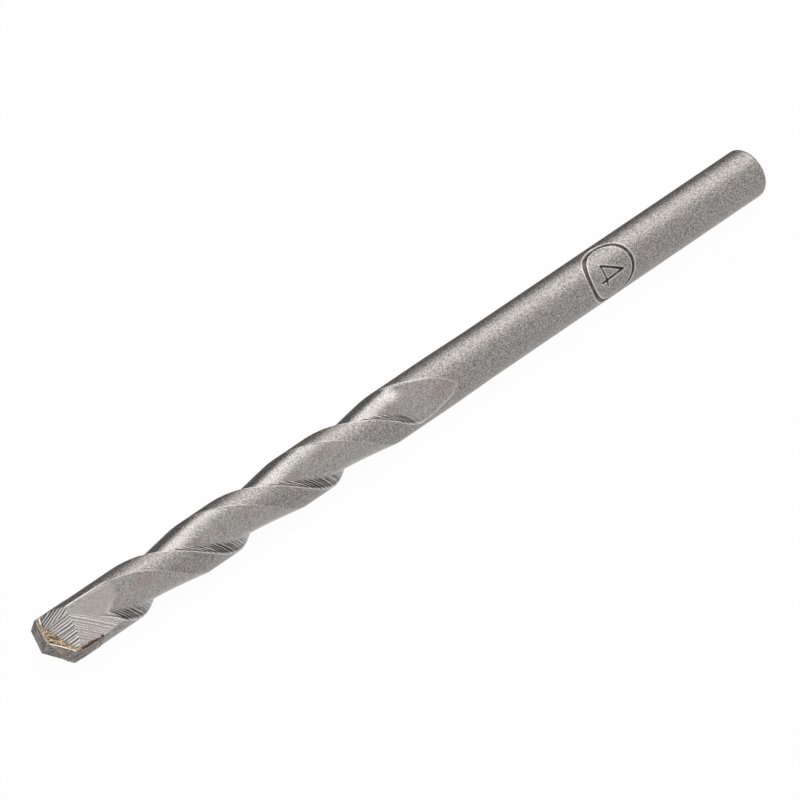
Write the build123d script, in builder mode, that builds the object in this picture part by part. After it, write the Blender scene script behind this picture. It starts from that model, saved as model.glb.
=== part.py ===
from build123d import *
import math
import os

# Masonry drill bit, 4 mm by 75 mm: a fluted steel body with a brazed-in hard metal plate.
# It lies along +X with its point at -X, and rests on z = 0. Millimetres and degrees throughout.
# A distance is measured back from the point. An angle round the bit goes from +Y towards +Z.

# Driving dimensions
overall_length = 75.0
tip_diameter = 4.1
body_diameter = 4.0
shank_diameter = 3.9
shank_start = 45.0
shank_taper_length = 4.0
end_rounding = 0.35

# Hard metal plate and its braze
plate_thickness = 1.08
plate_depth = 3.85
plate_angle = 18.3
point_angle = 123.0
point_lean = 6.3  # the point is ground askew: one half is flatter by this, the other steeper
flank_relief = 4.0
corner_cuts = ((0.07, 0.1), (0.3, 0.72))  # across and along the bit, at each end of the plate
braze_film = 0.07
braze_set_back = 0.07
braze_throat = 0.11
braze_slope = 5.8

# Head
steel_front = 0.65
head_gauge = 1.1  # the bevels and the braze are measured at this distance from the point
facet_angle = 128.6
facet_share = 0.555  # distance of the facet from the axis, as a share of the body's radius
facet_tilt = 2.0
facet_end = 6.6
bevel_slopes = (29.6, 31.0)
bevel_angles = (116.3, 83.4)
bevel_shares = (0.32, 0.585)

# Flutes
flute_lead = 19.8
head_twist = 2.5  # degrees for each millimetre
edge_start_angle = 68.9
twist_ramp = (6.0, 10.0)
twist_stop = (34.8, 37.2)
root_share = 0.672  # radius of the flute's root, as a share of the body's radius
root_angle = 105.0
edge_break_head = 40.0
edge_break_body = 11.0
break_ramp = (6.5, 10.0)
wall_angle = 125.0
wall_angle_start = 47.0
wall_ramp = (5.3, 8.8)
wall_lean = 16.5
wall_lean_end = 60.0
lean_ramp = (35.4, 38.6)
fillet_share = 0.13
lift_slope = 0.16
lift_angle = 85.0
run_in_end = 6.3
run_out_start = 36.1
flute_start = 4.6
flute_end = 41.4
station_pitch = 0.7
cutter_share = 1.35
relief_start_angle = -15.0

tip_radius = tip_diameter / 2
body_radius = body_diameter / 2
shank_radius = shank_diameter / 2
tip_x = -overall_length / 2
axis_height = body_radius
facet_distance = facet_share * body_radius
bevel_distances = [share * body_radius for share in bevel_shares]
root_radius = root_share * body_radius
root_fillet = fillet_share * body_radius
cutter_reach = cutter_share * body_radius
bit_axis = Axis((0, 0, axis_height), (1, 0, 0))
turn_rate = 360.0 / flute_lead
half_turns = (0.0, 180.0)
rounding_angles = (0.0, 30.0, 60.0, 90.0)  # the steps that round the back end
slot_width = plate_thickness + 2 * braze_film
slot_depth = plate_depth + braze_film
throat_width = plate_thickness + 2 * braze_throat
half_points = (point_angle / 2 + point_lean, point_angle / 2 - point_lean)
roof_slopes = [1 / math.tan(math.radians(angle)) for angle in half_points]
relief_slope = math.tan(math.radians(flank_relief))
cut_size = 3 * body_diameter  # side of the blocks that cut the flat faces


def across(distance, angle=0.0, off=(0.0, 0.0)):
    """Plane square to the bit at a distance from the point, with its x at the angle."""
    y_part, z_part = polar(1.0, angle)
    centre = (
        tip_x + distance,
        off[0] * y_part - off[1] * z_part,
        axis_height + off[0] * z_part + off[1] * y_part,
    )
    return Plane(origin=centre, x_dir=(0, y_part, z_part), z_dir=(1, 0, 0))


def lengthways(angle):
    """Plane along the bit: x goes across it at the angle, y back from the point."""
    y_part, z_part = polar(1.0, angle)
    origin = (tip_x, 0, axis_height)
    return Plane(origin=origin, x_dir=(0, y_part, z_part), z_dir=(0, z_part, -y_part))


def polar(radius, angle):
    """Point at a radius and an angle."""
    return (radius * math.cos(math.radians(angle)), radius * math.sin(math.radians(angle)))


def flat_face(angle, distance, back, slope):
    """Plane of a flat face on the bit, facing outwards.

    It crosses the direction of the angle at a distance from the axis, at the place back from
    the point, and moves out by the slope from there on. Its y runs along the bit.
    """
    y_part, z_part = polar(1.0, angle)
    run, rise = polar(1.0, slope)
    origin = (tip_x + back, distance * y_part, axis_height + distance * z_part)
    return Plane(origin=origin, x_dir=(0, -z_part, y_part), z_dir=(-rise, run * y_part, run * z_part))


def ramp(distance, limits):
    """0 before the first limit, 1 after the second, and straight between them."""
    share = (distance - limits[0]) / (limits[1] - limits[0])
    return min(1.0, max(0.0, share))


def ramp_area(distance, limits):
    """Area under the ramp up to a distance: it turns a rate of twist into an angle."""
    inside = min(max(distance, limits[0]), limits[1]) - limits[0]
    return inside**2 / (2 * (limits[1] - limits[0])) + max(0.0, distance - limits[1])


def edge_angle(distance):
    """Angle of the flute's trailing edge: slow in the head, at the lead in the body, then still."""
    return (
        edge_start_angle
        + head_twist * distance
        + (turn_rate - head_twist) * ramp_area(distance, twist_ramp)
        - turn_rate * ramp_area(distance, twist_stop)
    )


def relief_circle(distance):
    """Arc from the trailing edge to the root: it meets the body at the edge break."""
    edge_break = edge_break_head + (edge_break_body - edge_break_head) * ramp(distance, break_ramp)
    normal = polar(1.0, edge_break)
    root = polar(root_radius, root_angle)
    reach = (root[0] - body_radius, root[1])
    chord = reach[0] ** 2 + reach[1] ** 2
    radius = -chord / (2 * (reach[0] * normal[0] + reach[1] * normal[1]))
    return (body_radius - radius * normal[0], -radius * normal[1]), radius


def on_relief(circle, angle):
    """Point where a ray from the axis meets the relief arc."""
    centre, radius = circle
    ray = polar(1.0, angle)
    middle = ray[0] * centre[0] + ray[1] * centre[1]
    far = middle + math.sqrt(middle**2 + radius**2 - centre[0] ** 2 - centre[1] ** 2)
    return (ray[0] * far, ray[1] * far)


def wall_end(distance):
    """Angle from the trailing edge to the top of the steep wall, which opens out behind the head."""
    closed = 1.0 - ramp(distance, wall_ramp)
    return wall_angle - (wall_angle - wall_angle_start) * closed**2


def flute_section(distance):
    """Section of a flute: convex relief, rounded root and steep wall, closed outside the bit."""
    lift = lift_slope * (max(0.0, run_in_end - distance) + max(0.0, distance - run_out_start))
    circle = relief_circle(distance)
    wall = wall_end(distance)
    lean = wall_lean + (wall_lean_end - wall_lean) * ramp(distance, lean_ramp)
    start = on_relief(circle, relief_start_angle)
    root = on_relief(circle, wall - lean)
    top = polar(body_radius, wall)
    stretch = (cutter_reach - root_radius) / (body_radius - root_radius)
    outer = (root[0] + (top[0] - root[0]) * stretch, root[1] + (top[1] - root[1]) * stretch)
    plane = across(distance, edge_angle(distance), polar(lift, lift_angle))
    with BuildSketch(plane) as section:
        with BuildLine():
            ThreePointArc(start, on_relief(circle, (wall - lean) / 2), root)
            Line(root, outer)
            ThreePointArc(outer, polar(cutter_reach, wall / 2), polar(cutter_reach, relief_start_angle))
            Line(polar(cutter_reach, relief_start_angle), start)
        make_face()
        corner = section.vertices().sort_by_distance(plane.from_local_coords(Vector(*root)))[0]
        fillet(corner, root_fillet)
    return section.sketch


def cut_off(angle, distance, back, slope):
    """Cut away what lies outside a flat face."""
    with BuildSketch(flat_face(angle, distance, back, slope)) as face:
        Rectangle(cut_size, cut_size)
    extrude(face.sketch, amount=cut_size, mode=Mode.SUBTRACT)


def cut_bevel(number):
    """Grind one of the two flat bevels that are at the front of the head, beside the plate."""
    for turn in half_turns:
        cut_off(bevel_angles[number] + turn, bevel_distances[number], head_gauge, bevel_slopes[number])


def cut_facets():
    """Mill the flat face on each side of the head, which ends inside the flute."""
    lean = math.radians(facet_tilt)
    middle = facet_end / 2
    distance = facet_distance + middle * math.tan(lean)
    for turn in half_turns:
        with BuildSketch(flat_face(facet_angle + turn, distance, middle, facet_tilt)) as face:
            Rectangle(cut_size, facet_end / math.cos(lean))
        extrude(face.sketch, amount=body_radius, mode=Mode.SUBTRACT)


def cut_roof(set_back):
    """Grind the point: two flanks that fall back from the cutting lips, moved back by a distance."""
    origin = (tip_x + set_back, 0, axis_height)
    for turn, roof_slope in zip(half_turns, roof_slopes):
        y_lip, z_lip = polar(roof_slope, plate_angle + turn)
        y_off, z_off = polar(relief_slope, plate_angle + turn - 90)
        normal = Vector(-1, y_lip - y_off, z_lip - z_off)
        with BuildSketch(Plane(origin=origin, x_dir=(0, -normal.Z, normal.Y), z_dir=normal)) as flank:
            Rectangle(cut_size, cut_size)
        extrude(flank.sketch, amount=cut_size, mode=Mode.SUBTRACT)


def cut_corners():
    """Take the sharp outer corners off the plate."""
    for turn, roof_slope, (across_cut, along_cut) in zip(half_turns, roof_slopes, corner_cuts):
        slope = math.degrees(math.atan2(across_cut, along_cut))
        cut_off(plate_angle + turn, tip_radius - across_cut, tip_radius * roof_slope, slope)


with BuildPart() as flute_cutter:
    steps = math.ceil((flute_end - flute_start) / station_pitch)
    pitch = (flute_end - flute_start) / steps
    loft([flute_section(flute_start + pitch * step) for step in range(steps + 1)])

with BuildPart() as steel_body:
    with BuildSketch(Plane(origin=(tip_x, 0, axis_height), x_dir=(1, 0, 0), z_dir=(0, -1, 0))):
        with BuildLine():
            Polyline(
                (steel_front, 0),
                (steel_front, body_radius),
                (shank_start - shank_taper_length, body_radius),
                (shank_start, shank_radius),
                *[
                    (
                        overall_length - end_rounding + polar(end_rounding, angle)[1],
                        shank_radius - end_rounding + polar(end_rounding, angle)[0],
                    )
                    for angle in rounding_angles
                ],
                (overall_length, 0),
                close=True,
            )
        make_face()
    revolve(axis=bit_axis)
    cut_facets()
    cut_bevel(0)
    cut_bevel(1)
    cut_roof(braze_set_back)
    cut_corners()
    for depth, width in ((slot_depth, slot_width), (head_gauge, throat_width)):
        with BuildSketch(across(depth, plate_angle)):
            Rectangle(cut_size, width)
        extrude(amount=-depth, mode=Mode.SUBTRACT)
    for turn in half_turns:
        add(flute_cutter.part.rotate(bit_axis, turn), mode=Mode.SUBTRACT)
steel_body.part.label = "steel_body"

with BuildPart() as carbide_tip:
    with BuildSketch(lengthways(plate_angle)):
        Rectangle(tip_diameter, plate_depth, align=(Align.CENTER, Align.MIN))
    extrude(amount=plate_thickness / 2, both=True)
    with BuildSketch(across(0)):
        Circle(tip_radius)
    extrude(amount=plate_depth, mode=Mode.INTERSECT)
    cut_roof(0.0)
    cut_corners()
carbide_tip.part.label = "carbide_tip"

with BuildPart() as braze:
    with BuildSketch(across(slot_depth, plate_angle)):
        Rectangle(body_diameter, slot_width)
    extrude(amount=head_gauge - slot_depth)
    with BuildSketch(across(head_gauge, plate_angle)):
        Rectangle(body_diameter, throat_width)
    extrude(amount=-head_gauge)
    with BuildSketch(across(0)):
        Circle(body_radius)
    extrude(amount=slot_depth, mode=Mode.INTERSECT)
    cut_roof(braze_set_back)
    for turn in half_turns:
        cut_off(plate_angle + 90 + turn, throat_width / 2, head_gauge, braze_slope)
    cut_facets()
    cut_bevel(1)
    cut_corners()
    add(carbide_tip.part, mode=Mode.SUBTRACT)
braze.part.label = "braze"

if __name__ == "__main__":
    os.makedirs("parts", exist_ok=True)
    export_step(steel_body.part, "parts/steel_body.step")
    export_step(carbide_tip.part, "parts/carbide_tip.step")
    export_step(braze.part, "parts/braze.step")
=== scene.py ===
"""Masonry drill bit, 4 mm by 75 mm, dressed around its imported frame.

The steel is one closed surface, whose radius is worked out for each angle and distance: the
turned bar, less the two flutes, the milled and ground faces of the head, the plate's slot and
the mark. The hard metal plate and the braze are copies of the solids, with ground edges and
with the lumps that the braze froze in.

The bit's sizes are in millimetres until a mesh is made. The floor, the card, the lamp and the
camera are set in metres. A distance is measured back from the point along the bit, and an
angle in degrees goes round the bit from +Y towards +Z.
"""

import bmesh
import bpy
import numpy as np
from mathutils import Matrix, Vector


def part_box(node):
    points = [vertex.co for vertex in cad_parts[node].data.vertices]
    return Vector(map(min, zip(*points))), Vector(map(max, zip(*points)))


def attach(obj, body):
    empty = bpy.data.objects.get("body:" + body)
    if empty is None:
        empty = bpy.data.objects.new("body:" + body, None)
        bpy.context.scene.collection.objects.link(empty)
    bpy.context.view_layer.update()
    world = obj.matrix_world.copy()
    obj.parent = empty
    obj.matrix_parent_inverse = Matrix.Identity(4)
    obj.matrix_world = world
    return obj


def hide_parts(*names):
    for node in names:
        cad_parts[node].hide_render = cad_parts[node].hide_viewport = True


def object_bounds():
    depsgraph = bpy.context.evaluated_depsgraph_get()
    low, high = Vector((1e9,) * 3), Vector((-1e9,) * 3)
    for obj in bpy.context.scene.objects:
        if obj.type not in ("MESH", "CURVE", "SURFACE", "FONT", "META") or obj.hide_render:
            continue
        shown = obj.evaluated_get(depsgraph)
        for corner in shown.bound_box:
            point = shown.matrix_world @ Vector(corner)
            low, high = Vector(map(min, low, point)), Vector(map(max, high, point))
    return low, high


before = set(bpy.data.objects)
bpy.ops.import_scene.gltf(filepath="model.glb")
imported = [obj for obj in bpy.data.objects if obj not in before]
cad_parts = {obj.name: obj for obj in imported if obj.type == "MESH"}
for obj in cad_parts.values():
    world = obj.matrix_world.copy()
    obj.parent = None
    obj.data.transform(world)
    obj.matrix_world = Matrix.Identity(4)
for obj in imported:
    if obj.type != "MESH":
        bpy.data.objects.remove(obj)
cad_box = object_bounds()

MM = 0.001

# The bit, as the frame has it
steel_low, steel_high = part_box("steel_body")
bit_low, bit_high = cad_box
tip_x = bit_low.x / MM
overall_length = (bit_high.x - bit_low.x) / MM
body_radius = (steel_high.z - steel_low.z) / 2 / MM
axis_height = body_radius
carbide_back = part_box("carbide_tip")[1].x / MM - tip_x

# Shank
shank_radius = 1.95
shank_start = 45.0
shank_taper_length = 4.0
end_rounding = 0.35

# Head: the slot, the plate in it and the point
plate_thickness = 1.08
plate_angle = 18.3
braze_film = 0.07
braze_set_back = 0.07
steel_front = 0.65
head_gauge = 1.1
throat_half_width = 0.65  # half the slot's width in front of the head's gauge
slot_depth = 0.3  # how far the surface steps down where plate and braze fill the slot
roof_slopes = (0.408, 0.695)  # how steeply each half of the point falls back from the tip
roof_set_back = 0.12
corner_cut = (1.75, 1.425, 0.417)  # distance off the axis, distance from the point, slope

# Head: the milled facets and the ground bevels, two for each facet
facet_angle = 128.6
facet_distance = 1.11
facet_tilt = 2.0
facet_end = 6.6
facet_run_out = 0.25
bevel_slopes = (23.4, 31.0)
bevel_angles = (113.0, 83.4)
bevel_turns = (11.0, 0.0)  # how far each bevel turns round over the bevel's length
bevel_distances = (0.64, 1.27)
bevel_end = 2.4
head_rounding = 0.03
facet_edge_line = 0.05

# Flutes
flute_lead = 19.8
head_twist = 2.5  # degrees for each millimetre
edge_start_angle = 68.9
twist_ramp = (6.0, 10.0)  # where the head's slow twist grows into the lead's
twist_stop = (34.8, 37.2)  # where the twist ends
root_radius = 1.344
root_angle = 105.0
root_fillet = 0.12
edge_break_head = 40.0  # angle that the relief falls away by at the trailing edge
edge_break_body = 11.0
break_ramp = (6.5, 10.0)
wall_angle = 125.0
wall_angle_start = 66.0
wall_ramp = (4.65, 9.65)
wall_lean = 16.5  # how far the wall's foot lies before its top
lift_slope = 0.16
lift_angle = 85.0
run_in_end = 6.3
run_in_fade = (4.6, 0.3)  # before this distance the flute fades out, by this slope more
flute_start = 4.2
flute_end = 41.4
relief_start_angle = -15.0
flute_rounding = 0.02
flute_blend = 0.04  # depth over which a flute's own finish sets in
wall_blend = 0.25  # depth over which the wall's finish sets in above the root

# Where a flute runs out: distances, and there the angle of its near edge from the trailing
# edge, the turn of its wall's top and the radius at the middle of its floor
run_out_distances = (31.5, 32.7, 34.7, 35.9, 36.9, 38.0, 39.1, 40.25, 40.9, 41.3)
run_out_edges = (0.0, 0.0, 0.0, 10.0, 26.0, 42.0, 57.0, 79.0, 98.0, 114.0)
run_out_turns = (0.0, -5.0, -5.0, 1.0, 9.0, 6.0, -2.0, -13.0, -29.0, -45.0)
run_out_radii = (1.36, 1.36, 1.36, 1.41, 1.52, 1.73, 1.85, 1.92, 1.975, 2.05)
floor_ramp = (35.2, 37.4)  # where the scoop takes over from the flute
floor_overlap = 12.0  # how far the scoop's floor goes on past its edges

# Painted highlights along the flutes' edges, and the painted shade line under the wall's top
edge_line = 0.06
edge_start = (flute_start, flute_start + 1.0)
edge_fade = (40.0, 41.3)
tail_edge_highlight_strength = 0.35
run_out_highlight_strength = 0.45  # how much more painted highlight the run-out's edge has
undercut_shade_offset = 0.13

# Tool marks, each by a distance across them
wall_marks_ramp = (5.0, 6.0)
flute_feed = 0.75  # how far the marks in a flute climb for each millimetre round the bit
facet_feed = (0.665, 0.747)  # shares of the distance along and of the distance across
facet_marks_start = 1.2
facet_marks_end = 2.85  # where the cutter ended, across these marks
top_bevel_feed = 0.4
top_bevel_side = -1.12  # the top bevel lies beyond this distance across the facet
side_bevel_spread = 0.03
side_bevel_ramp = (1.0, 1.9)  # the side bevel's marks come up between these distances

# Mark on the shank: a ring round a plain 4, its top towards the shank end
mark_distance = 57.95
mark_angle = 142.2
ring_radii = (2.33, 2.17)
ring_turn = 38.1  # how far the ring's long way is turned from square across the shank
digit_strokes = (  # start and end, each across and along the shank, and the half width
    ((0.44, -1.17), (0.34, 1.10), 0.10),
    ((-0.72, -0.64), (0.84, -0.73), 0.09),
    ((-0.72, -0.60), (0.34, 1.08), 0.105),
)
ring_half_width = 0.16
groove_edge = 0.05
groove_depth = 0.08
burr_height = 0.012
burr_width = 0.04
digit_burr_share = 0.55
ring_floor_light = 0.22  # how much less painted shade the floor of the ring's groove gets

# Stains: distance, angle, half length and half width of each
stain_rim = 1.25  # where a stain ends, as a share of its size
stains = (
    (8.8, 126.0, 1.1, 0.6),
    (14.6, 119.0, 0.9, 0.45),
    (16.8, 129.0, 0.8, 0.4),
    (18.9, 126.0, 1.0, 0.35),
    (24.2, 125.0, 1.3, 0.6),
    (27.6, 119.0, 0.8, 0.4),
    (34.6, 131.0, 1.4, 0.6),
    (39.6, 150.0, 1.5, 0.8),
)

# Braze: its skin, its lumps, and its creep towards the plate's higher corner
skin_pitch = 0.0275  # size of its faces: finer ones would pass 200,000 triangles
skin_thickness = 0.006
lump_height = 0.035
lump_lift = 0.015
lump_sizes = (0.45, 0.2)
lump_shares = (0.6, 0.4)
lump_seeds = (11, 12)
front_blend = 0.2  # the lumps end this far behind the steel's front
rim_blend = 0.35  # and go flat this close to the body's surface
creep_share = 0.86
creep_reach = 0.7
creep_ramp = (0.25, 0.7)  # along the plate, off its middle
ledge_highlight_ramp = (0.05, 0.15)  # the painted highlight on the ledge ends at this distance behind the point's roof
pale_corner_ramp = (1.2, 1.5)
pale_corner_share = 0.6
slot_shadow_start = 1.75  # distance from the point at which painted shadow darkens the film in the slot
slot_shadow_length = 1 / 3.3

# Colours of the steel, as red, green, blue and 1. A pair is the dark and the light of its
# grains or lines.
blasted_tones = ((0.124, 0.116, 0.108, 1), (0.432, 0.406, 0.386, 1))
scooped_tone = (0.50, 0.47, 0.45, 1)
faint_stain_tone = (0.26, 0.185, 0.15, 1)
stain_tone = (0.19, 0.125, 0.105, 1)
facet_tone = (0.46, 0.425, 0.402, 1)
milled_tones = ((0.27, 0.255, 0.24, 1), (0.58, 0.55, 0.52, 1))
honed_tones = ((0.085, 0.08, 0.076, 1), (0.80, 0.77, 0.74, 1))
# the walls' feed marks, whose nearly black dark tone is painted shade
wall_marks_and_shade_tones = ((0.03, 0.028, 0.026, 1), (0.42, 0.40, 0.38, 1))
# painted shade in a line under each wall's top
undercut_shade_tone = (0.035, 0.032, 0.03, 1)
# painted highlight along the flutes' and facets' edges
edge_highlight_tone = (0.80, 0.78, 0.76, 1)
# painted shade in the mark's grooves
groove_shade_tone = (0.02, 0.018, 0.017, 1)
# painted highlight on the mark's burr
burr_highlight_tone = (0.72, 0.70, 0.68, 1)

# Lines that the tools left: the mask of their face, the attribute with the distance across
# them, their number in a millimetre, their tones, how strongly they show, and their depth
tool_lines = (
    ("milled", "feed_side", 5.0, milled_tones, 0.5, 4.0),
    ("bevel_side", "feed_bevel", 5.2, honed_tones, 0.85, 7.0),
    ("bevel_top", "feed_top", 5.2, honed_tones, 0.85, 7.0),
    # the wall's lines are partly real marks and partly painted shade
    ("wall", "feed_flute", 5.4, wall_marks_and_shade_tones, 0.85, 5.0),
)

# Colours of the hard metal and of the braze
hard_metal_tones = ((0.095, 0.083, 0.077, 1), (0.36, 0.323, 0.305, 1))
worn_tone = (0.42, 0.37, 0.355, 1)
golden_tones = ((0.10, 0.062, 0.040, 1), (0.43, 0.335, 0.24, 1))
burnt_tone = (0.15, 0.085, 0.055, 1)
# painted shadow on the braze in the slot, behind the steel's edge
slot_shadow_tone = (0.085, 0.045, 0.036, 1)
# painted highlight on the braze's ledge
ledge_highlight_tone = (0.74, 0.69, 0.60, 1)
white = (1, 1, 1, 1)

FAR = 9.0  # a radius well outside the bit, for a cut that isn't there
HALF_TURNS = (0.0, 180.0)
COLUMNS = 200


def ramp(value, limits):
    """0 before the first limit, 1 after the second, and straight between them."""
    return np.clip((value - limits[0]) / (limits[1] - limits[0]), 0.0, 1.0)


def ramp_area(value, limits):
    """Area under the ramp up to a value: half a square inside the limits, then straight on."""
    inside = np.clip(value, *limits) - limits[0]
    return inside**2 / (2 * (limits[1] - limits[0])) + np.maximum(0.0, value - limits[1])


def smooth(value):
    """An S-shaped step from 0 to 1: three squares less two cubes of the clipped value."""
    share = np.clip(value, 0.0, 1.0)
    return share * share * (3.0 - 2.0 * share)


def soft_line(off, half_width):
    """A soft line, 1 in its middle: a bell curve of the distance off it."""
    return np.exp(-((off / half_width) ** 2))


def soft_min(first, second, size):
    """The smaller of two values, rounded off where they come within the size of each other."""
    share = np.clip(0.5 + 0.5 * (second - first) / size, 0.0, 1.0)
    return second * (1 - share) + first * share - size * share * (1 - share)


def soft_max(first, second, size):
    """The larger of two values, rounded in the same way."""
    return -soft_min(-first, -second, size)


def turned(radius, angle):
    """The point at a radius and an angle, as two coordinates."""
    return radius * np.cos(np.radians(angle)), radius * np.sin(np.radians(angle))


def off_bearing(angle, bearing):
    """How far an angle is from a bearing, between -180 and 180 degrees."""
    return (angle - bearing + 180.0) % 360.0 - 180.0


def bar_radius(distance):
    """Radius of the turned bar: the body, a straight taper to the shank and a round end."""
    taper = ramp(distance, (shank_start - shank_taper_length, shank_start))
    bar = body_radius + (shank_radius - body_radius) * taper
    into_end = np.clip(distance - (overall_length - end_rounding), 0.0, end_rounding)
    return bar - end_rounding + np.sqrt(np.maximum(end_rounding**2 - into_end**2, 0.0))


def edge_angle(distance):
    """Angle of a flute's trailing edge: slow in the head, at the lead in the body, then still."""
    rate = 360.0 / flute_lead
    return (
        edge_start_angle
        + head_twist * distance
        + (rate - head_twist) * ramp_area(distance, twist_ramp)
        - rate * ramp_area(distance, twist_stop)
    )


def past_edge_angle(angle, distance):
    """How far an angle is past a flute's trailing edge, between -90 and 270 degrees."""
    return (angle - edge_angle(distance) + 90.0) % 360.0 - 90.0


def near_edge(distance):
    """Angle from the trailing edge to the flute's near edge, which closes in at the run-out."""
    return np.interp(distance, run_out_distances, run_out_edges)


def wall_end(distance):
    """Angle from the trailing edge to the top of the steep wall."""
    closed = 1.0 - ramp(distance, wall_ramp)
    opened = wall_angle - (wall_angle - wall_angle_start) * closed**2
    return opened + np.interp(distance, run_out_distances, run_out_turns)


def run_out_floor(past_edge, distance):
    """Radius of the flat scoop that a flute runs out in, by the angle past its trailing edge.

    It is a wide arc through three points: the near edge and the wall's top, both on the body's
    surface, and the middle of the floor. The arc's centre lies on the ray through that middle,
    as far from it as from the edge.
    """
    least_bend = 0.02
    near, far = near_edge(distance), wall_end(distance)
    half, middle = (far - near) / 2, (far + near) / 2
    depth = np.interp(distance, run_out_distances, run_out_radii)
    bend = np.minimum(4 * np.cos(np.radians(half)) - 2 * depth, -least_bend)
    centre = (body_radius**2 - depth**2) / bend
    centre_x, centre_y = turned(centre, past_edge - middle)
    floor = centre_x + np.sqrt(np.maximum((depth - centre) ** 2 - centre_y**2, 0.0))
    return np.where(np.abs(past_edge - middle) < half + floor_overlap, floor, FAR)


def relief_circle(distance):
    """Centre and radius of the circle that a flute's relief follows in a section.

    It runs through the root, and meets the body's surface at the trailing edge, where its
    normal is turned from the body's by the edge break.
    """
    edge_break = edge_break_head + (edge_break_body - edge_break_head) * ramp(distance, break_ramp)
    normal_x, normal_y = turned(1.0, edge_break)
    root_x, root_y = turned(root_radius, root_angle)
    chord = (root_x - body_radius) ** 2 + root_y**2
    radius = -chord / (2 * ((root_x - body_radius) * normal_x + root_y * normal_y))
    return (body_radius - radius * normal_x, -radius * normal_y), radius


def circle_reach(ray, centre, radius):
    """How far along a ray from the axis a circle is met, at the far side of the circle."""
    along = ray[0] * centre[0] + ray[1] * centre[1]
    inside = along**2 + radius**2 - centre[0] ** 2 - centre[1] ** 2
    return along + np.sqrt(np.maximum(inside, 0.0))


def wall_reach(ray, distance, centre, radius, lift):
    """How far along a ray from the axis the steep wall is met.

    The wall is a straight line to its top on the body's surface. It starts on the relief
    circle, at the lean before that top, and the lift moves it out as a whole.
    """
    nearly_along = 1e-6
    top = turned(body_radius, wall_end(distance))
    start_x, start_y = turned(1.0, wall_end(distance) - wall_lean)
    reach = circle_reach((start_x, start_y), centre, radius)
    way_x, way_y = top[0] - reach * start_x, top[1] - reach * start_y
    foot_x, foot_y = reach * start_x + lift[0], reach * start_y + lift[1]
    crossing = ray[0] * way_y - ray[1] * way_x
    met = (foot_x * way_y - foot_y * way_x) / np.maximum(crossing, nearly_along)
    return np.where(crossing > nearly_along, np.clip(met, 0.0, FAR), FAR)


def flute_radii(angle, distance):
    """Radius of a flute's floor and of its steep wall along each ray from the axis.

    The floor is the relief circle, moved out by the lift where the flute runs in, and fades
    into the flat scoop where the flute runs out.
    """
    past_edge = past_edge_angle(angle, distance)
    ray = turned(1.0, past_edge)
    rise = lift_slope * np.maximum(0, run_in_end - distance)
    rise = rise + run_in_fade[1] * np.maximum(0, run_in_fade[0] - distance)
    lift = turned(rise, lift_angle)
    centre, radius = relief_circle(distance)
    relief = circle_reach(ray, (centre[0] + lift[0], centre[1] + lift[1]), radius)
    scoop = smooth(ramp(distance, floor_ramp))
    floor = relief * (1.0 - scoop) + run_out_floor(past_edge, distance) * scoop
    window = (past_edge > relief_start_angle) & (distance > flute_start) & (distance < flute_end)
    return np.where(window, floor, FAR), wall_reach(ray, distance, centre, radius, lift)


def flute_masks(angle, distance, inside, wall_over_floor):
    """Masks of one flute: wall, whole surface, painted edge highlights and a painted shade line."""
    past_edge = past_edge_angle(angle, distance)
    past_near = np.radians(past_edge - near_edge(distance)) * body_radius
    past_wall = np.radians(past_edge - wall_end(distance)) * body_radius
    fading = 1.0 - ramp(distance, floor_ramp)
    steepness = smooth(wall_over_floor / wall_blend + 1.0) * ramp(distance, wall_marks_ramp)
    held = ramp(distance, edge_start) * (1 - ramp(distance, edge_fade))
    run_out_share = run_out_highlight_strength * ramp(distance, floor_ramp)
    return {
        "wall": steepness * inside * fading,
        "scooped": inside,
        # painted highlights: light lines along the trailing edge and along the wall's top
        "tail_edge_highlight": held * (tail_edge_highlight_strength + run_out_share) * soft_line(past_near, edge_line),
        "wall_edge_highlight": held * soft_line(past_wall, edge_line),
        # painted shade: a dark line just under the wall's top
        "undercut_shade": held * fading * soft_line(past_wall + undercut_shade_offset, edge_line),
    }


def cut_flutes(angle, distance, radius):
    """The radius less both flutes, with a fillet at each root, and the flutes' masks."""
    masks = {}
    for turn in HALF_TURNS:
        floor, steep = flute_radii(angle - turn, distance)
        cut = np.where(floor < FAR, soft_max(floor, steep, root_fillet), FAR)
        inside = smooth((radius - cut) / flute_blend)
        for name, mask in flute_masks(angle - turn, distance, inside, steep - floor).items():
            masks[name] = np.maximum(masks.get(name, 0.0), mask)
        radius = soft_min(radius, cut, flute_rounding)
    return radius, masks


def flat_cut(angle, direction, offset):
    """Radius where a ray meets a flat face that crosses the direction at the offset."""
    grazing = 0.12
    facing = np.cos(np.radians(angle - direction))
    return np.where(facing > grazing, offset / np.maximum(facing, grazing), FAR)


def head_cuts(angle, distance):
    """Radii of the milled facets, of the two ground bevels beside the plate, and of the point.

    Each is a flat face, whose offset from the axis grows with the distance by its slope.
    """
    facet = np.full(angle.shape, FAR)
    bevels = [facet.copy(), facet.copy()]
    facet_offset = facet_distance + distance * np.tan(np.radians(facet_tilt))
    past_end = smooth((distance - facet_end) / facet_run_out)
    for turn in HALF_TURNS:
        cut = flat_cut(angle, facet_angle + turn, facet_offset)
        facet = np.minimum(facet, cut + past_end)
        for number in (0, 1):
            slope = np.tan(np.radians(bevel_slopes[number]))
            offset = bevel_distances[number] + (distance - head_gauge) * slope
            turning = bevel_turns[number] * ramp(distance, (head_gauge, bevel_end))
            cut = flat_cut(angle, bevel_angles[number] + turning + turn, offset)
            bevels[number] = np.minimum(bevels[number], cut)
    facet = np.where(distance > facet_end + facet_run_out, FAR, facet)
    off_axis, back, slope = corner_cut
    offset = off_axis + (distance - back) * slope
    point = flat_cut(angle, plate_angle + 180.0, offset)
    for turn, slope in zip(HALF_TURNS, roof_slopes):
        cut = flat_cut(angle, plate_angle + turn, (distance - roof_set_back) / slope)
        point = np.minimum(point, cut)
    return facet, bevels, point


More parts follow.
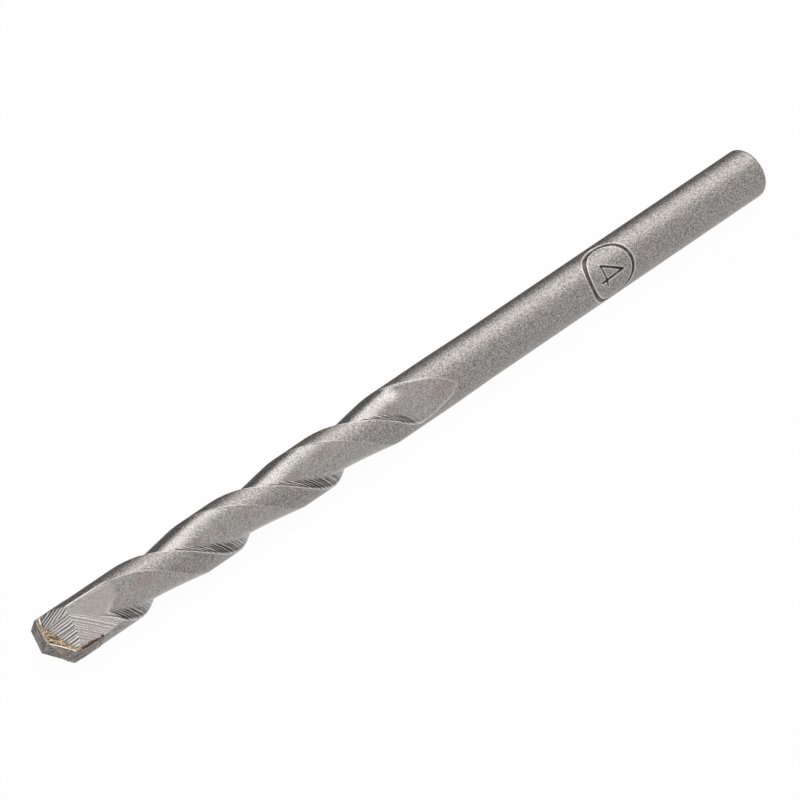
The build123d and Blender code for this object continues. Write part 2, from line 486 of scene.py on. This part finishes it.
def cut_head(angle, distance, radius):
    """The radius less the head's faces, the point and the slot, and the masks of the faces."""
    facet, bevels, point = head_cuts(angle, distance)
    # painted highlight: a light line along the facet's edge
    facet_edge_highlight = soft_line(radius - facet, facet_edge_line)
    facet_edge_highlight *= 1 - ramp(distance, (flute_start, facet_end))
    on_facet = smooth((radius - facet) / head_rounding + 0.5)
    radius = soft_min(radius, facet, head_rounding)
    on_bevels = [smooth((radius - cut) / head_rounding + 0.5) for cut in bevels]
    for cut in bevels:
        radius = soft_min(radius, cut, head_rounding)
    off_plate = np.abs(radius * np.sin(np.radians(angle - plate_angle)))
    radius = np.minimum(radius, point)
    slot_behind = plate_thickness / 2 + braze_film
    slot_half_width = np.where(distance < head_gauge, throat_half_width, slot_behind)
    in_slot = (distance < carbide_back + braze_film) & (off_plate < slot_half_width)
    off_bevels = (1 - on_bevels[0]) * (1 - on_bevels[1])
    masks = {
        "facet": on_facet * off_bevels,
        "facet_edge_highlight": facet_edge_highlight * off_bevels,
        "ground": np.maximum(*on_bevels),
    }
    return np.where(in_slot, radius - slot_depth, radius), masks


def stroke_distance(across, along, start, end):
    """Distance from points to a straight stroke: to the nearest place between its ends."""
    way = np.array(end) - np.array(start)
    share = ((across - start[0]) * way[0] + (along - start[1]) * way[1]) / (way @ way)
    share = np.clip(share, 0.0, 1.0)
    return np.hypot(across - start[0] - share * way[0], along - start[1] - share * way[1])


def mark_distances(angle, distance):
    """Distance of each point outside the ring's groove and outside the digit's.

    Inside a groove it is negative. The ring's groove lies along an oval, where the two shares
    of its radii, squared and added, give 1.
    """
    across = np.radians(off_bearing(angle, mark_angle)) * shank_radius
    along = distance - mark_distance
    turn_cos, turn_sin = turned(1.0, ring_turn)
    long_way = along * turn_sin - across * turn_cos
    short_way = across * turn_sin + along * turn_cos
    oval = np.hypot(long_way / ring_radii[0], short_way / ring_radii[1])
    ring = np.abs(oval - 1.0) * ring_radii[1] - ring_half_width
    digit = np.full_like(ring, FAR)
    for start, end, half_width in digit_strokes:
        digit = np.minimum(digit, stroke_distance(across, along, start, end) - half_width)
    return ring, digit


def roll_mark(angle, distance, radius):
    """The radius with the mark's grooves and burr, and masks of their painted shade and highlight.
    """
    ring, digit = mark_distances(angle, distance)
    groove = smooth(-np.minimum(ring, digit) / groove_edge)
    ring_burr = soft_line(ring - burr_width, burr_width)
    digit_burr = digit_burr_share * soft_line(digit - burr_width, burr_width)
    burr = np.maximum(ring_burr, digit_burr)
    # painted shade fills the grooves, less of it on the ring's floor
    ring_floor = smooth((-ring - groove_edge) / groove_edge)
    masks = {"groove": groove * (1 - ring_floor_light * ring_floor), "burr": burr}
    return radius - groove_depth * groove + burr_height * burr, masks


def stain_mask(angle, distance):
    """Soft ovals at the stains' places, on the surface laid flat."""
    stain = np.zeros_like(angle)
    for place, bearing, half_length, half_width in stains:
        round_it = off_bearing(angle, bearing) * np.radians(body_radius)
        spread = np.hypot((distance - place) / half_length, round_it / half_width)
        stain = np.maximum(stain, smooth(stain_rim - spread))
    return stain


def feed_coordinates(angle, distance, radius):
    """Distance across the facets, and across the tool marks of each kind of face.

    Across a facet it is the radius by the sine of the angle off the facet's middle. The facet's
    slanting marks go by shares of the distance along and of that across, the side bevel's by
    that across, which spreads with the distance, the top bevel's by that across plus a share of
    the distance, and a flute's by the distance less a share of the way round the bit.
    """
    across = np.zeros_like(angle)
    for turn in HALF_TURNS:
        off = off_bearing(angle, facet_angle + turn)
        across = np.where(np.abs(off) < 90.0, radius * np.sin(np.radians(off)), across)
    climb = flute_feed * np.radians(angle) * body_radius
    return across, {
        "feed_side": distance * facet_feed[0] - across * facet_feed[1],
        "feed_bevel": across * (1.0 - side_bevel_spread * (distance - head_gauge)),
        "feed_top": across + top_bevel_feed * distance,
        "feed_flute": (distance - climb) / np.hypot(1.0, flute_feed),
    }


def head_masks(distance, across, side_feed, facet, ground):
    """Masks of the top bevel, of the side bevel and of the part of a facet with cutter marks.

    The ground faces are the top bevel on one side of a line across the facet, and the side
    bevel on the other.
    """
    ridge, fading = 0.06, 0.35
    faint_side, faint_cut = 0.6, 0.4
    top = ground * smooth((top_bevel_side - across) / ridge)
    side = (ground - top) * (faint_side + (1 - faint_side) * ramp(distance, side_bevel_ramp))
    cut_in = smooth((side_feed - facet_marks_start) / facet_marks_start)
    milled = facet * (faint_cut + (1 - faint_cut) * cut_in)
    milled = milled * smooth((facet_marks_end - side_feed) / fading)
    return {"bevel_top": top, "bevel_side": side, "milled": milled}


def spread_angles(start, centres, widths, weights):
    """Angles over one turn from the start, closer together round the centres.

    They are even steps of the area under 1 plus a bell curve round each centre.
    """
    fine = np.linspace(0.0, 360.0, 4 * 360 + 1)
    density = np.ones_like(fine)
    for centre, width, weight in zip(centres, widths, weights):
        density += weight * soft_line(off_bearing(fine + start, centre), width)
    total = np.concatenate(([0.0], np.cumsum((density[1:] + density[:-1]) / 2)))
    steps = np.linspace(0.0, total[-1], COLUMNS, endpoint=False)
    return start + np.interp(steps, total, fine)


def column_angles(distance):
    """Angles of the grid's columns: they follow the flutes' edges, then gather at the mark."""
    widths, weights = (5.0, 6.0, 3.0), (0.8, 1.0, 3.0)  # at the edge, the root and the wall's top
    mark_width, mark_weight, before_mark = 68.0, 2.2, 4.0
    edge, wall = edge_angle(distance), wall_end(distance)
    lines = [edge + turn + past for turn in HALF_TURNS for past in (0.0, wall - wall_lean, wall)]
    flutes = spread_angles(edge, lines, widths * 2, weights * 2)
    mark = spread_angles(edge_angle(flute_end), [mark_angle], [mark_width], [mark_weight])
    share = smooth(ramp(distance, (flute_end, mark_distance - before_mark)))
    return flutes + (mark - flutes) * share


def row_distances():
    """Distances of the grid's rows: close in the head and at the mark, wider elsewhere."""
    end_rows = 9
    head_end, flutes_end = 8.6, flute_end + 0.2
    mark_reach = ring_radii[0] + 2 * ring_half_width
    mark_start, mark_end = mark_distance - mark_reach, mark_distance + mark_reach
    round_start = overall_length - end_rounding
    spans = (  # start, end and pitch
        (steel_front, head_end, 0.075),
        (head_end, flutes_end, 0.2),
        (flutes_end, mark_start, 0.5),
        (mark_start, mark_end, 0.036),
        (mark_end, round_start, 0.8),
    )
    rows = [np.linspace(a, b, int(round((b - a) / pitch)), endpoint=False) for a, b, pitch in spans]
    rows.append(round_start + end_rounding * np.sin(np.linspace(0.0, np.pi / 2, end_rows)))
    return np.concatenate(rows)


def steel_surface():
    """Angle, distance and radius of each point of the steel, and the masks of its finishes.

    The radius is the smallest of the bar, the flutes, the facets, the bevels and the point,
    with rounded edges, less the plate's slot and the mark's grooves.
    """
    rows = row_distances()
    angle = np.array([column_angles(distance) for distance in rows])
    distance = np.repeat(rows[:, None], COLUMNS, axis=1)
    radius, masks = cut_flutes(angle, distance, bar_radius(distance))
    masks["stain"] = stain_mask(angle, distance)
    radius, faces = cut_head(angle, distance, radius)
    masks["facet"] = faces["facet"]
    masks["tail_edge_highlight"] = np.maximum(masks["tail_edge_highlight"], faces["facet_edge_highlight"])
    radius, mark = roll_mark(angle, distance, radius)
    across, feeds = feed_coordinates(angle, distance, radius)
    head = head_masks(distance, across, feeds["feed_side"], faces["facet"], faces["ground"])
    return angle, distance, radius, {**masks, **mark, **feeds, **head}


def closed_grid_faces(rows, columns):
    """Faces of a closed grid: quads between rows and columns, and a fan at each end.

    The points come row by row. The middles of the front and of the back follow them.
    """
    row, column = np.meshgrid(np.arange(rows - 1), np.arange(columns), indexing="ij")
    here, beside = row * columns + column, row * columns + (column + 1) % columns
    quads = np.stack([here, beside, beside + columns, here + columns], axis=2).reshape(-1, 4)
    first = np.arange(columns)
    after = (first + 1) % columns
    last = (rows - 1) * columns
    front = np.stack([after, first, np.full(columns, rows * columns)], axis=1)
    back = np.stack([last + first, last + after, np.full(columns, rows * columns + 1)], axis=1)
    return quads.tolist() + front.tolist() + back.tolist()


def new_object(name, data):
    """An object for a mesh, lamp or camera, linked to the scene at the origin."""
    made = bpy.data.objects.new(name, data)
    bpy.context.scene.collection.objects.link(made)
    return made


def add_attribute(mesh, name, values):
    """A number for each vertex, which a material reads by name."""
    made = mesh.attributes.new(name, "FLOAT", "POINT")
    made.data.foreach_set("value", np.asarray(values, np.float32).ravel())


def make_steel():
    """The steel as one closed grid: each point lies at its radius and angle round the axis."""
    angle, distance, radius, masks = steel_surface()
    across, up = turned(radius, angle)
    points = np.stack([tip_x + distance, across, axis_height + up], axis=2).reshape(-1, 3)
    middles = [
        [tip_x + steel_front, 0.0, axis_height],
        [tip_x + overall_length, 0.0, axis_height],
    ]
    points = np.concatenate([points, middles]) * MM
    mesh = bpy.data.meshes.new("steel_shell")
    mesh.from_pydata(points.tolist(), [], closed_grid_faces(*angle.shape))
    for name, values in masks.items():
        add_attribute(mesh, name, np.concatenate([values.ravel(), [0.0, 0.0]]))
    mesh.shade_smooth()
    mesh.validate()
    mesh.update()
    return new_object("steel_shell", mesh)


def merged_copy(node, name):
    """A copy of a CAD node's mesh with its doubled vertices merged."""
    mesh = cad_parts[node].data.copy()
    mesh.name = name
    mesh.materials.clear()
    work = bmesh.new()
    work.from_mesh(mesh)
    bmesh.ops.remove_doubles(work, verts=work.verts, dist=1e-7)
    work.to_mesh(mesh)
    work.free()
    return new_object(name, mesh)


def make_carbide():
    """The hard metal plate: the CAD plate with its sharp edges taken off by a small bevel."""
    made = merged_copy("carbide_tip", "ground_plate")
    bevel = made.modifiers.new("edges", "BEVEL")
    bevel.width = 0.03 * MM
    bevel.segments = 2
    bevel.limit_method = "ANGLE"
    bevel.angle_limit = np.radians(20.0)
    bevel.harden_normals = False
    made.data.shade_smooth()
    made.data.set_sharp_from_angle(angle=np.radians(24.0))
    return made


def waves(points, size, seed, count=14):
    """A lumpy value of about -1 to 1: sines of about a size, along random ways, added up."""
    chance = np.random.default_rng(seed)
    ways = chance.normal(size=(count, 3))
    ways /= np.linalg.norm(ways, axis=1)[:, None]
    phases = chance.uniform(0, 2 * np.pi, count)
    lengths = size * chance.uniform(0.7, 1.5, count)
    return np.sin(points @ ways.T * (2 * np.pi / lengths) + phases).sum(axis=1) / np.sqrt(count)


def skinned_copy(node, name):
    """A merged copy of a CAD node, remeshed into small even faces."""
    made = merged_copy(node, name)
    remesh = made.modifiers.new("skin", "REMESH")
    remesh.mode = "VOXEL"
    remesh.voxel_size = skin_pitch * MM
    depsgraph = bpy.context.evaluated_depsgraph_get()
    mesh = bpy.data.meshes.new_from_object(made.evaluated_get(depsgraph), depsgraph=depsgraph)
    made.modifiers.clear()
    made.data = mesh
    mesh.name = name
    return made


def lump_heights(points):
    """Height of the braze's skin and lumps: waves of two sizes, in front and inside the rim."""
    front = 1.0 - smooth((points[:, 0] - tip_x - steel_front) / front_blend)
    off_axis = np.hypot(points[:, 1], points[:, 2] - axis_height)
    inner = smooth((body_radius - off_axis) / rim_blend)
    lumps = sum(
        share * waves(points, size, seed)
        for share, size, seed in zip(lump_shares, lump_sizes, lump_seeds)
    )
    return skin_thickness + inner * front * (lump_height * lumps + lump_lift)


def make_braze():
    """The braze: the CAD film and fillets with the lumps it froze in.

    Towards the plate's higher corner it has crept forward: its distance behind the roof-shaped
    point shrinks by a share that fades with that distance, as a bell curve.
    """
    made = skinned_copy("braze", "braze_bead")
    mesh = made.data
    points, normals = np.empty(len(mesh.vertices) * 3), np.empty(len(mesh.vertices) * 3)
    mesh.vertices.foreach_get("co", points)
    mesh.vertices.foreach_get("normal", normals)
    points, normals = points.reshape(-1, 3) / MM, normals.reshape(-1, 3)
    points = points + normals * lump_heights(points)[:, None]
    way_y, way_z = turned(1.0, plate_angle)
    off_middle = points[:, 1] * way_y + (points[:, 2] - axis_height) * way_z
    slope = np.where(off_middle > 0, roof_slopes[0], roof_slopes[1])
    roof = tip_x + braze_set_back + np.abs(off_middle) * slope
    crept = creep_share * smooth(ramp(off_middle, creep_ramp))
    behind = np.maximum(points[:, 0] - roof, 0.0)
    behind = behind * (1.0 - crept * soft_line(behind, creep_reach))
    points[:, 0] = roof + behind
    mesh.vertices.foreach_set("co", (points * MM).ravel())
    # painted highlight: a pale line along the ledge behind the point's roof, and the same pale tone
    # towards the higher corner
    corner = pale_corner_share * smooth(ramp(off_middle, pale_corner_ramp))
    ledge_highlight = 1.0 - smooth(ramp(behind, ledge_highlight_ramp))
    add_attribute(mesh, "ledge_highlight", np.maximum(ledge_highlight, corner))
    mesh.shade_smooth()
    mesh.update()
    return made


class Sheet:
    """Short ways to place and join nodes in a tree. An input is a value or a node's output."""

    def __init__(self, tree):
        self.tree = tree
        self.place = -2000

    def feed(self, target, value):
        """Link an input to another node's output, or set its value."""
        if isinstance(value, bpy.types.NodeSocket):
            self.tree.links.new(value, target)
        else:
            target.default_value = value

    def node(self, kind, inputs=None, **settings):
        """A node with its settings and inputs."""
        made = self.tree.nodes.new(kind)
        made.location = (self.place, 0)
        self.place += 40
        for name, value in settings.items():
            setattr(made, name, value)
        for name, value in (inputs or {}).items():
            self.feed(made.inputs[name], value)
        return made

    def math(self, operation, first, second=0.0, third=0.0, clamp=False):
        """One step of arithmetic, as an output."""
        inputs = {0: first, 1: second, 2: third}
        return self.node("ShaderNodeMath", inputs, operation=operation, use_clamp=clamp).outputs[0]

    def times(self, first, second, plus=None, clamp=False):
        """Two numbers multiplied, and a third added where one is given."""
        if plus is None:
            return self.math("MULTIPLY", first, second, clamp=clamp)
        return self.math("MULTIPLY_ADD", first, second, plus, clamp)

    def mix(self, share, first, second):
        """Two colours mixed by a share."""
        made = self.node("ShaderNodeMix", data_type="RGBA")
        inputs = {target.identifier: target for target in made.inputs}
        self.feed(inputs["Factor_Float"], share)
        self.feed(inputs["A_Color"], first)
        self.feed(inputs["B_Color"], second)
        return next(out for out in made.outputs if out.identifier == "Result_Color")

    def lay(self, tone, colour, mask, strength):
        """A colour laid over a tone where the mask is, at a strength."""
        return self.mix(self.times(mask, strength), tone, colour)

    def noise(self, vector, scale, detail, roughness=0.5):
        """Cloudy noise in space."""
        inputs = {"Vector": vector, "Scale": scale, "Detail": detail, "Roughness": roughness}
        return self.node("ShaderNodeTexNoise", inputs).outputs["Fac"]

    def noise_along(self, place, scale):
        """Noise along one coordinate."""
        inputs = {"W": place, "Scale": scale, "Detail": 1.0}
        return self.node("ShaderNodeTexNoise", inputs, noise_dimensions="1D").outputs["Fac"]

    def attribute(self, name):
        """A vertex attribute's number."""
        return self.node("ShaderNodeAttribute", attribute_name=name).outputs["Fac"]

    def group(self, tree, inputs):
        """The outputs of a node group."""
        return self.node("ShaderNodeGroup", inputs, node_tree=tree).outputs

    def finish(self, kind, shader):
        """The tree's output node, with its shader."""
        self.node(kind, {"Surface": shader.outputs[0]})


def new_group(name, inputs, outputs):
    """A node group with named inputs and their values, its sheet, and what comes into it."""
    group = bpy.data.node_groups.new(name, "ShaderNodeTree")
    group.interface.new_socket(name="Vector", in_out="INPUT", socket_type="NodeSocketVector")
    for title, value in inputs.items():
        made = group.interface.new_socket(
            name=title, in_out="INPUT", socket_type="NodeSocketFloat"
        )
        made.default_value = value
    for title in outputs:
        group.interface.new_socket(name=title, in_out="OUTPUT", socket_type="NodeSocketFloat")
    sheet = Sheet(group)
    return group, sheet, sheet.node("NodeGroupInput").outputs


def blasted_grain_group():
    """Grain of a blasted surface: two sizes of noise, as a height and as a speckle, 0 to 1."""
    coarse_share = 0.35  # of the fine noise's scale, and of its height
    middle_height, contrast = 0.675, 3.2
    group, sheet, into = new_group(
        "blasted_grain", {"Grains per metre": 9000.0}, ("Height", "Speckle")
    )
    fine = sheet.noise(into["Vector"], into["Grains per metre"], 1.0)
    coarse_scale = sheet.times(into["Grains per metre"], coarse_share)
    coarse = sheet.noise(into["Vector"], coarse_scale, 2.0)
    height = sheet.times(coarse, coarse_share, fine)
    off_middle = sheet.math("SUBTRACT", height, middle_height)
    speckle = sheet.times(off_middle, contrast, 0.5, clamp=True)
    sheet.node("NodeGroupOutput", {"Height": height, "Speckle": speckle})
    return group


def tool_marks_group():
    """Marks of a grinding wheel or cutter: uneven ridges across a coordinate.

    They are a sine whose phase drifts, plus noise along the coordinate. They wander a little,
    and noise in space breaks them.
    """
    wander_scale, wander_reach = 900.0, 0.12
    drift_scale, drift_reach = 0.45, 1.4
    wave_height, uneven_scale, uneven_height, base = 0.23, 1.3, 0.6, 0.2
    broken_scale, contrast = 2600.0, 2.2
    group, sheet, into = new_group(
        "tool_marks", {"Across": 0.0, "Marks per mm": 6.0}, ("Height", "Shade")
    )
    wander = sheet.math("SUBTRACT", sheet.noise(into["Vector"], wander_scale, 1.0), 0.5)
    across = sheet.times(wander, wander_reach, into["Across"])
    place = sheet.times(across, into["Marks per mm"])
    phase = sheet.times(sheet.noise_along(place, drift_scale), drift_reach, place)
    wave = sheet.math("SINE", sheet.times(phase, 2 * np.pi))
    uneven = sheet.times(sheet.noise_along(place, uneven_scale), uneven_height, base)
    ridges = sheet.math("SUBTRACT", sheet.times(wave, wave_height, uneven), 0.5)
    broken = sheet.math("ADD", sheet.noise(into["Vector"], broken_scale, 2.0), 0.5)
    height = sheet.times(ridges, broken)
    shade = sheet.times(height, contrast, 0.5, clamp=True)
    sheet.node("NodeGroupOutput", {"Height": height, "Shade": shade})
    return group


def patches_group():
    """Loose patches, such as stains and pits: noise above a level, with a soft edge."""
    steepness = 9.0
    group, sheet, into = new_group(
        "patches", {"Patches per metre": 400.0, "Level": 0.6}, ("Mask",)
    )
    noise = sheet.noise(into["Vector"], into["Patches per metre"], 4.0, 0.62)
    above = sheet.math("SUBTRACT", noise, into["Level"])
    mask = sheet.times(above, steepness, clamp=True)
    sheet.node("NodeGroupOutput", {"Mask": mask})
    return group


def new_material(name):
    """A material with an empty tree, and the sheet that fills it."""
    made = bpy.data.materials.new(name)
    made.use_nodes = True
    made.node_tree.nodes.clear()
    return made, Sheet(made.node_tree)


def finish_metal(sheet, tone, metallic, roughness, height, strength, depth):
    """A metal's shader, bumped by a height, at the end of its sheet."""
    bump = sheet.node(
        "ShaderNodeBump", {"Strength": strength, "Distance": depth, "Height": height}
    )
    inputs = {"Base Color": tone, "Metallic": metallic, "Roughness": roughness}
    inputs["Normal"] = bump.outputs["Normal"]
    sheet.finish("ShaderNodeOutputMaterial", sheet.node("ShaderNodeBsdfPrincipled", inputs))


def steel_material(grain, marks, patches):
    """Blasted steel: grained lands and flutes, with the lines that the tools left over them.

    The stains and plain faces come first, then the lines of each face where its mask is, with
    painted shade in the walls' dark, and last the painted shade line under the walls, painted
    highlights on the edges, painted shade in the mark's groove and a painted highlight on its burr.
    """
    material, sheet = new_material("blasted_steel")
    place = sheet.node("ShaderNodeTexCoord").outputs["Object"]
    blast = sheet.group(grain, {"Vector": place, "Grains per metre": 13500.0})
    faint = sheet.group(patches, {"Vector": place, "Patches per metre": 420.0, "Level": 0.56})
    pits = sheet.group(patches, {"Vector": place, "Patches per metre": 2200.0, "Level": 0.49})
    scooped = sheet.attribute("scooped")

    tone = sheet.mix(blast["Speckle"], *blasted_tones)
    tone = sheet.lay(tone, faint_stain_tone, faint["Mask"], 0.12)
    stained = sheet.times(sheet.times(blast["Speckle"], -0.5, 0.85), sheet.attribute("stain"))
    tone = sheet.lay(tone, stain_tone, stained, 0.7)
    tone = sheet.lay(tone, scooped_tone, scooped, 0.2)
    tone = sheet.lay(tone, facet_tone, sheet.attribute("facet"), 0.5)
    height = sheet.times(blast["Height"], sheet.times(scooped, -0.7, 1.5))
    for face, feed, per_mm, tones, strength, depth in tool_lines:
        mask, across = sheet.attribute(face), sheet.attribute(feed)
        inputs = {"Across": across, "Vector": place, "Marks per mm": per_mm}
        lines = sheet.group(marks, inputs)
        tone = sheet.lay(tone, sheet.mix(lines["Shade"], *tones), mask, strength)
        height = sheet.times(sheet.times(lines["Height"], mask), depth, height)
    # painted shade under the walls' tops
    tone = sheet.lay(tone, undercut_shade_tone, sheet.attribute("undercut_shade"), 0.7)
    # painted highlights along the flutes' and facets' edges
    wall_edge_highlight = sheet.times(sheet.attribute("wall_edge_highlight"), 0.6)
    edge_highlight = sheet.times(sheet.attribute("tail_edge_highlight"), 0.6, wall_edge_highlight, clamp=True)
    tone = sheet.mix(edge_highlight, tone, edge_highlight_tone)
    unpitted = sheet.times(pits["Mask"], -0.3, 1.02)
    # painted shade in the mark's grooves, broken in patches
    groove = sheet.times(sheet.attribute("groove"), unpitted, clamp=True)
    tone = sheet.mix(groove, tone, groove_shade_tone)
    # painted highlight on the burr
    tone = sheet.lay(tone, burr_highlight_tone, sheet.attribute("burr"), 0.8)
    rough = sheet.times(scooped, -0.12, sheet.times(blast["Speckle"], 0.1, 0.30))
    finish_metal(sheet, tone, 1.0, rough, height, 0.6, 0.03 * MM)
    return material


def carbide_material(grain, patches):
    """Hard metal: dull dark grey grains with lighter worn specks."""
    material, sheet = new_material("hard_metal")
    place = sheet.node("ShaderNodeTexCoord").outputs["Object"]
    blast = sheet.group(grain, {"Vector": place, "Grains per metre": 7500.0})
    worn = sheet.group(patches, {"Vector": place, "Patches per metre": 1500.0, "Level": 0.52})
    tone = sheet.mix(blast["Speckle"], *hard_metal_tones)
    tone = sheet.lay(tone, worn_tone, worn["Mask"], 0.45)
    rough = sheet.times(blast["Speckle"], 0.15, 0.42)
    finish_metal(sheet, tone, 0.8, rough, blast["Height"], 0.6, 0.03 * MM)
    return material


def braze_material(grain, patches):
    """Braze: golden metal, burnt hollows, a painted ledge highlight and painted shadow in the slot.
    """
    material, sheet = new_material("golden_braze")
    place = sheet.node("ShaderNodeTexCoord").outputs["Object"]
    blast = sheet.group(grain, {"Vector": place, "Grains per metre": 5200.0})
    burnt = sheet.group(patches, {"Vector": place, "Patches per metre": 2300.0, "Level": 0.5})
    tone = sheet.mix(blast["Speckle"], *golden_tones)
    tone = sheet.lay(tone, burnt_tone, burnt["Mask"], 0.6)
    along = sheet.node("ShaderNodeSeparateXYZ", {"Vector": place}).outputs["X"]
    # painted shadow: the braze darkens from this distance back into the slot
    per_metre = 1 / (slot_shadow_length * MM)
    film_start = (tip_x + slot_shadow_start) * MM
    film = sheet.times(along, per_metre, -per_metre * film_start, clamp=True)
    tone = sheet.mix(film, tone, slot_shadow_tone)
    ahead = sheet.times(sheet.math("SUBTRACT", 1.0, film), 0.85)
    # painted highlight on the ledge, ahead of the painted shadow
    tone = sheet.lay(tone, ledge_highlight_tone, sheet.attribute("ledge_highlight"), ahead)
    finish_metal(sheet, tone, 0.9, 0.4, blast["Height"], 0.7, 0.04 * MM)
    return material


def seen_rays(sheet):
    """1 for rays from the camera and in reflections, 0 for the rays that light a surface."""
    path = sheet.node("ShaderNodeLightPath").outputs
    seen = sheet.math("MAXIMUM", path["Is Camera Ray"], path["Is Glossy Ray"])
    return sheet.math("MAXIMUM", seen, path["Is Transmission Ray"])


def make_world():
    """White where it is seen or mirrored, and a softer grey where it lights."""
    lighting_strength = 0.7
    world = bpy.data.worlds.new("white_studio")
    bpy.context.scene.world = world
    world.use_nodes = True
    world.node_tree.nodes.clear()
    sheet = Sheet(world.node_tree)
    strength = sheet.times(seen_rays(sheet), 1.0 - lighting_strength, lighting_strength)
    back = sheet.node("ShaderNodeBackground", {"Color": white, "Strength": strength})
    sheet.finish("ShaderNodeOutputWorld", back)


def make_floor():
    """Pale floor: white where it is seen, with a share of the bit's soft shadow kept."""
    reach = 1.5
    white_share = 0.97
    mesh = bpy.data.meshes.new("floor")
    corners = [(-reach, -reach, 0), (reach, -reach, 0), (reach, reach, 0), (-reach, reach, 0)]
    mesh.from_pydata(corners, [], [(0, 1, 2, 3)])
    floor = new_object("floor", mesh)
    material, sheet = new_material("pale_floor")
    matt = sheet.node("ShaderNodeBsdfDiffuse", {"Color": (0.8, 0.8, 0.8, 1)})
    light = sheet.node("ShaderNodeEmission", {"Color": white, "Strength": 1.0})
    share = sheet.times(seen_rays(sheet), white_share)
    both = sheet.node("ShaderNodeMixShader", {0: share, 1: matt.outputs[0], 2: light.outputs[0]})
    sheet.finish("ShaderNodeOutputMaterial", both)
    mesh.materials.append(material)


def make_dark_card():
    """A dark card behind the bit, which only reflections see.

    It is a flat strip on the floor that starts close behind the bit, and an upright one at the
    strip's far side.
    """
    left, right, near, far, top = -0.4, 1.2, 0.006, 0.55, 0.42
    lift = 0.0002
    points = [(left, near, lift), (right, near, lift), (right, far, lift), (left, far, lift)]
    points += [(right, far, top), (left, far, top)]
    mesh = bpy.data.meshes.new("dark_card")
    mesh.from_pydata(points, [], [(0, 1, 2, 3), (3, 2, 4, 5)])
    card = new_object("dark_card", mesh)
    material, sheet = new_material("dark_cloth")
    cloth = sheet.node("ShaderNodeEmission", {"Color": white, "Strength": 0.22})
    sheet.finish("ShaderNodeOutputMaterial", cloth)
    mesh.materials.append(material)
    card.visible_camera = False
    card.visible_diffuse = False
    card.visible_shadow = False
    card.visible_transmission = False
    card.visible_volume_scatter = False


def make_key_lamp():
    """One large soft lamp behind and above the bit, turned towards its middle."""
    way = Vector((0.588, 0.252, 0.768)).normalized()
    reach = 0.7
    data = bpy.data.lights.new("key", "AREA")
    data.shape = "RECTANGLE"
    data.size, data.size_y = 0.64, 0.5
    data.energy = 1.7
    lamp = new_object("key", data)
    lamp.location = way * reach + Vector((0, 0, axis_height * MM))
    lamp.rotation_euler = way.to_track_quat("Z", "Y").to_euler()


def make_camera():
    """The photograph's view, from the point's side and above.

    The lens gives a pixel the size that it has at the bit, and the target is set off so that
    the bit's middle falls on its pixel.
    """
    azimuth, elevation = np.radians(-48.0), np.radians(37.6)
    reach = 0.7
    frame_pixels = 800.0
    pixels_per_mm = 14.01
    middle_pixel = (407.0, 403.2)
    back = Vector((
        np.sin(azimuth) * np.cos(elevation),
        -np.cos(azimuth) * np.cos(elevation),
        np.sin(elevation),
    ))
    data = bpy.data.cameras.new("camera")
    data.sensor_width = 36.0
    data.lens = data.sensor_width * pixels_per_mm * reach / MM / frame_pixels
    data.clip_end = 10.0
    camera = new_object("camera", data)
    turn = (-back).to_track_quat("-Z", "Y")
    right, up = turn @ Vector((1, 0, 0)), turn @ Vector((0, 1, 0))
    off_x = (middle_pixel[0] - frame_pixels / 2) / pixels_per_mm * MM
    off_y = (frame_pixels / 2 - middle_pixel[1]) / pixels_per_mm * MM
    target = Vector((0, 0, axis_height * MM)) - right * off_x - up * off_y
    camera.location = target + back * reach
    camera.rotation_mode = "QUATERNION"
    camera.rotation_quaternion = turn
    bpy.context.scene.camera = camera


make_camera()
make_world()
make_floor()
make_dark_card()
make_key_lamp()
bpy.context.scene.view_settings.view_transform = "Standard"

grain, marks, patches = blasted_grain_group(), tool_marks_group(), patches_group()
steel = make_steel()
steel.data.materials.append(steel_material(grain, marks, patches))
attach(steel, "root")
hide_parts("steel_body")

plate = make_carbide()
plate.data.materials.append(carbide_material(grain, patches))
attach(plate, "root")
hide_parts("carbide_tip")

bead = make_braze()
bead.data.materials.append(braze_material(grain, patches))
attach(bead, "root")
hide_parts("braze")
